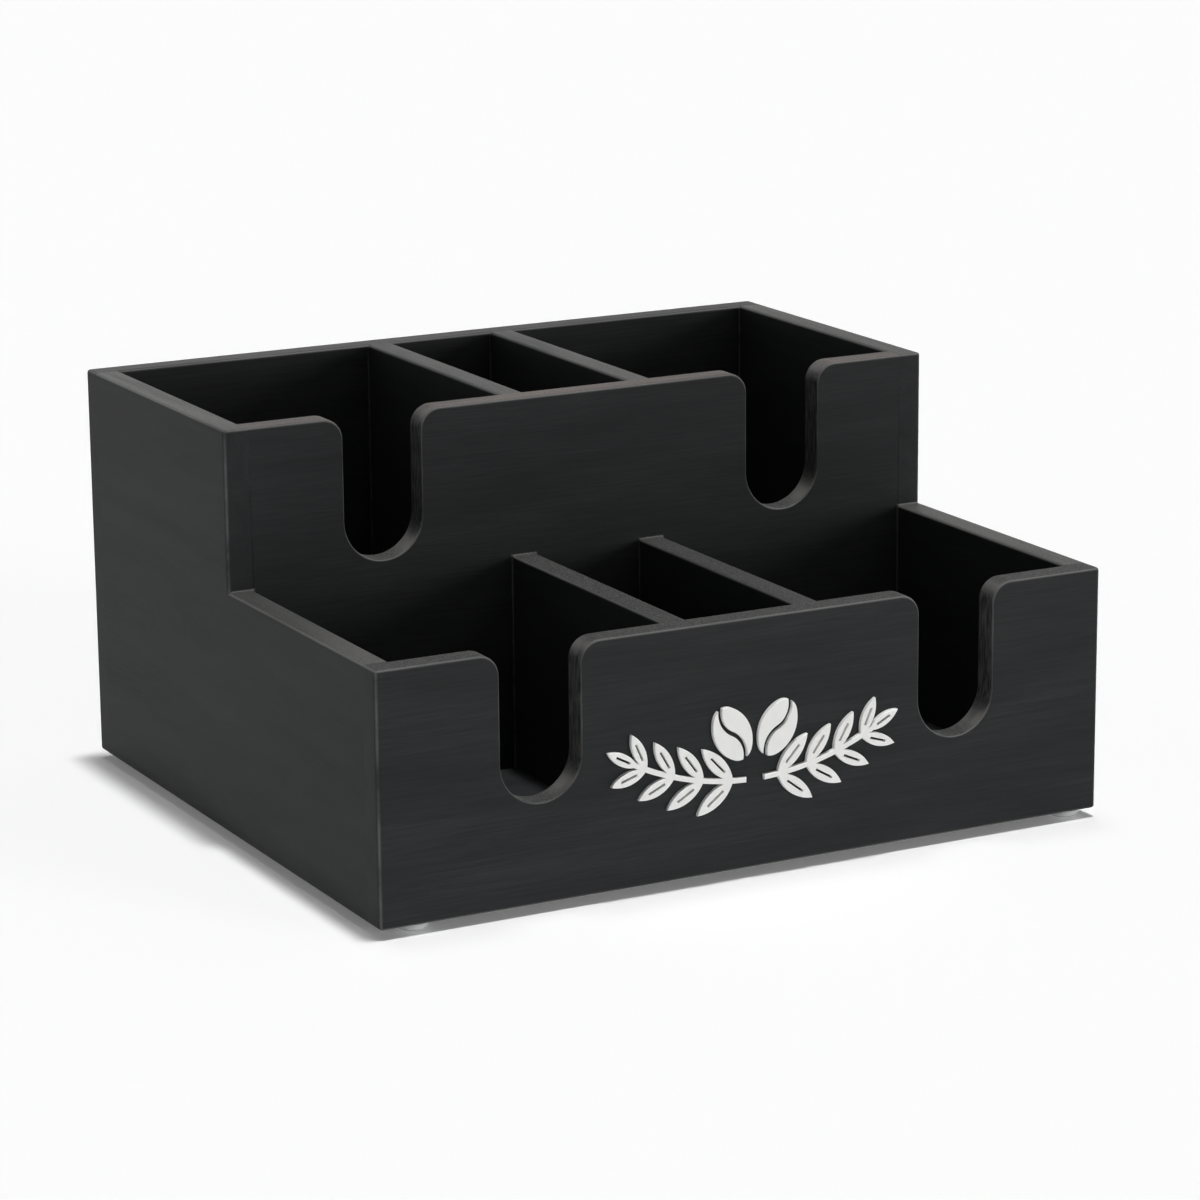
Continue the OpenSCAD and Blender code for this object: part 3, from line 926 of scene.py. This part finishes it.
def turned_foot(low, high, name):
    """A dome of the node's own width and height, its flat top against the boards."""
    middle = (low + high) / 2
    outline = foot_outline((high.x - low.x) / 2, high.z - low.z)
    bm = bmesh.new()
    verts = [bm.verts.new((middle.x + r, middle.y, low.z + z)) for r, z in outline]
    edges = [bm.edges.new(pair) for pair in zip(verts, verts[1:])]
    bmesh.ops.spin(
        bm, geom=verts + edges, cent=(middle.x, middle.y, 0), axis=(0, 0, 1),
        angle=2 * math.pi, steps=FOOT_SIDES, use_merge=True,
    )
    bmesh.ops.remove_doubles(bm, verts=bm.verts, dist=CLOSE)
    bmesh.ops.recalc_face_normals(bm, faces=bm.faces)
    return to_object(bm, name)


for node in ("front_left_foot", "front_right_foot", "rear_left_foot", "rear_right_foot"):
    foot = turned_foot(*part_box(node), node + "_domed")
    soften(foot)
    foot.data.materials.append(clear)
    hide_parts(node)
    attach(foot, "root")
print("feet:", len(foot.data.polygons), "faces each")

# %% [markdown]
# The ornament is laser-cut white acrylic, glued on. Cast acrylic is almost as white as paper and has a
# satin gloss here, with faint clouds a few millimetres wide that keep it from looking like a plain
# flat white.

# %% Acrylic
CLOUD = 6 * MM


def acrylic():
    """White cast acrylic, satin and faintly clouded."""
    material, tree, output = new_material("white_cast_acrylic")
    place = add(tree, "ShaderNodeTexCoord").outputs["Object"]
    cloud = add(tree, "ShaderNodeTexNoise", {"Vector": place, "Scale": 1 / CLOUD, "Detail": 2.0})
    colour = add(tree, "ShaderNodeMix", {
        "Factor": cloud.outputs["Fac"], 6: linear("#f1f1ef"), 7: linear("#f8f8f6"),
    }, data_type="RGBA")
    shader = add(tree, "ShaderNodeBsdfPrincipled", {
        "Base Color": colour.outputs[2], "Roughness": 0.28, "IOR": 1.49,
    })
    finish_material(tree, output, shader)
    return material


white = acrylic()
print("ornament in", white.name)

# %% [markdown]
# Cutting leaves the acrylic's back edge square, and polishing softens the front one, which reads as a
# thin grey line round each shape. The outlines come from the frame's own meshes. First the edges
# between the flat front and the sides are found, and at each corner the direction into the front
# face. In a sharp tip that direction would shoot far ahead, so its length has a limit.

# %% The ornament's outline
MAX_MITRE = 0.6
FLAT = MM / 50
FACING = 0.9


def front_outline(bm, face_y):
    """The edges between the flat front and the sides, each with its direction into the front face."""
    found = []
    for edge in bm.edges:
        if any(vert.co.y > face_y + FLAT for vert in edge.verts):
            continue
        fronts = [face for face in edge.link_faces if abs(face.normal.y) > FACING]
        if len(fronts) == 1 and len(edge.link_faces) == 2:
            along = (edge.verts[1].co - edge.verts[0].co).normalized()
            inward = along.cross(Vector((0, 1, 0)))
            middle = (edge.verts[0].co + edge.verts[1].co) / 2
            if (fronts[0].calc_center_median() - middle).dot(inward) < 0:
                inward = -inward
            found.append((edge, inward))
    return found


def corner_slides(outline):
    """How far each corner of an outline moves when both its edges step inwards by 1."""
    inwards = {}
    for edge, inward in outline:
        for vert in edge.verts:
            inwards.setdefault(vert, []).append(inward)
    slides = {}
    for vert, directions in inwards.items():
        mean = sum(directions, Vector()).normalized()
        slides[vert] = mean / max(mean.dot(directions[0]), MAX_MITRE)
    return slides


print("corners step in by at most", round(1 / MAX_MITRE, 2), "times the edge's own step")

# %% [markdown]
# The front faces of the frame's meshes are cut into thin triangles and have holes, which a bevel can't
# round cleanly. So the front is taken off, each outline steps inwards and forwards ring by ring along
# a quarter circle, and the last ring is filled anew, holes and all.

# %% Softened edges
ACRYLIC_EDGE = 0.3 * MM
EDGE_STEPS = 3


def softened_copy(node, name):
    """A copy of a node's mesh whose front edge is rounded by rings that step inwards and forwards."""
    bm = bmesh.new()
    bm.from_mesh(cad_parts[node].data)
    bmesh.ops.remove_doubles(bm, verts=bm.verts, dist=CLOSE)
    bmesh.ops.dissolve_degenerate(bm, edges=bm.edges, dist=CLOSE)
    face_y = min(vert.co.y for vert in bm.verts)
    outline = front_outline(bm, face_y)
    pairs = [(edge.verts[0], edge.verts[1]) for edge, _ in outline]
    slides = corner_slides(outline)
    fronts = [face for face in bm.faces if all(vert.co.y < face_y + FLAT for vert in face.verts)]
    bmesh.ops.delete(bm, geom=fronts, context="FACES")
    ring = {vert: vert for vert in slides}
    for vert in slides:
        vert.co.y = face_y + ACRYLIC_EDGE
    for step in range(1, EDGE_STEPS + 1):
        a = math.pi / 2 * step / EDGE_STEPS
        inner = {}
        for vert, slide in slides.items():
            start = Vector((vert.co.x, face_y, vert.co.z))
            lift = Vector((0, ACRYLIC_EDGE * (1 - math.sin(a)), 0))
            inner[vert] = bm.verts.new(start + slide * ACRYLIC_EDGE * (1 - math.cos(a)) + lift)
        for one, two in pairs:
            bm.faces.new((ring[one], ring[two], inner[two], inner[one]))
        ring = inner
    last = [bm.edges.get((ring[one], ring[two])) for one, two in pairs]
    bmesh.ops.triangle_fill(bm, edges=last, use_beauty=True, normal=(0, -1, 0))
    bmesh.ops.recalc_face_normals(bm, faces=bm.faces)
    open_edges = sum(len(edge.link_faces) != 2 for edge in bm.edges)
    print(name, "edges that don't join two faces:", open_edges)
    return to_object(bm, name)


for node in ("left_sprig", "right_sprig", "bean_pair"):
    ornament = softened_copy(node, node + "_acrylic")
    soften(ornament)
    ornament.data.materials.clear()
    ornament.data.materials.append(white)
    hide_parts(node)
    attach(ornament, "root")
    print(ornament.name, len(ornament.data.polygons), "faces")

# %% [markdown]
# The brads are drawn steel wire, sunk and filled over, so none shows. They keep the frame's meshes,
# which already have the right shape, and get the finish of bright wire: it mirrors its surroundings,
# broken up by the fine marks of the drawing die. The marks keep their real size, because none of them
# has to show.

# %% Brads
DIE_MARK = 0.08 * MM
STEEL_ROUGHNESS = (0.22, 0.4)


def drawn_steel():
    """Bright drawn steel wire."""
    material, tree, output = new_material("bright_drawn_steel")
    place = add(tree, "ShaderNodeTexCoord").outputs["Object"]
    marks = add(tree, "ShaderNodeTexNoise", {"Vector": place, "Scale": 1 / DIE_MARK, "Detail": 2.0})
    rough = add(tree, "ShaderNodeMapRange", {
        "Value": marks.outputs["Fac"], "From Min": NOISE_SPAN[0], "From Max": NOISE_SPAN[1],
        "To Min": STEEL_ROUGHNESS[0], "To Max": STEEL_ROUGHNESS[1],
    })
    shader = add(tree, "ShaderNodeBsdfPrincipled", {
        "Base Color": linear("#b9babb"), "Metallic": 1.0, "Roughness": rough.outputs[0],
    })
    finish_material(tree, output, shader)
    return material


steel = drawn_steel()
BRAD_NODES = ("left_side_brads", "right_side_brads", "back_panel_brads", "front_panel_brads")
for node in BRAD_NODES:
    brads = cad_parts[node]
    brads.data.materials.clear()
    brads.data.materials.append(steel)
print("brads:", len(BRAD_NODES), "nodes in", steel.name)
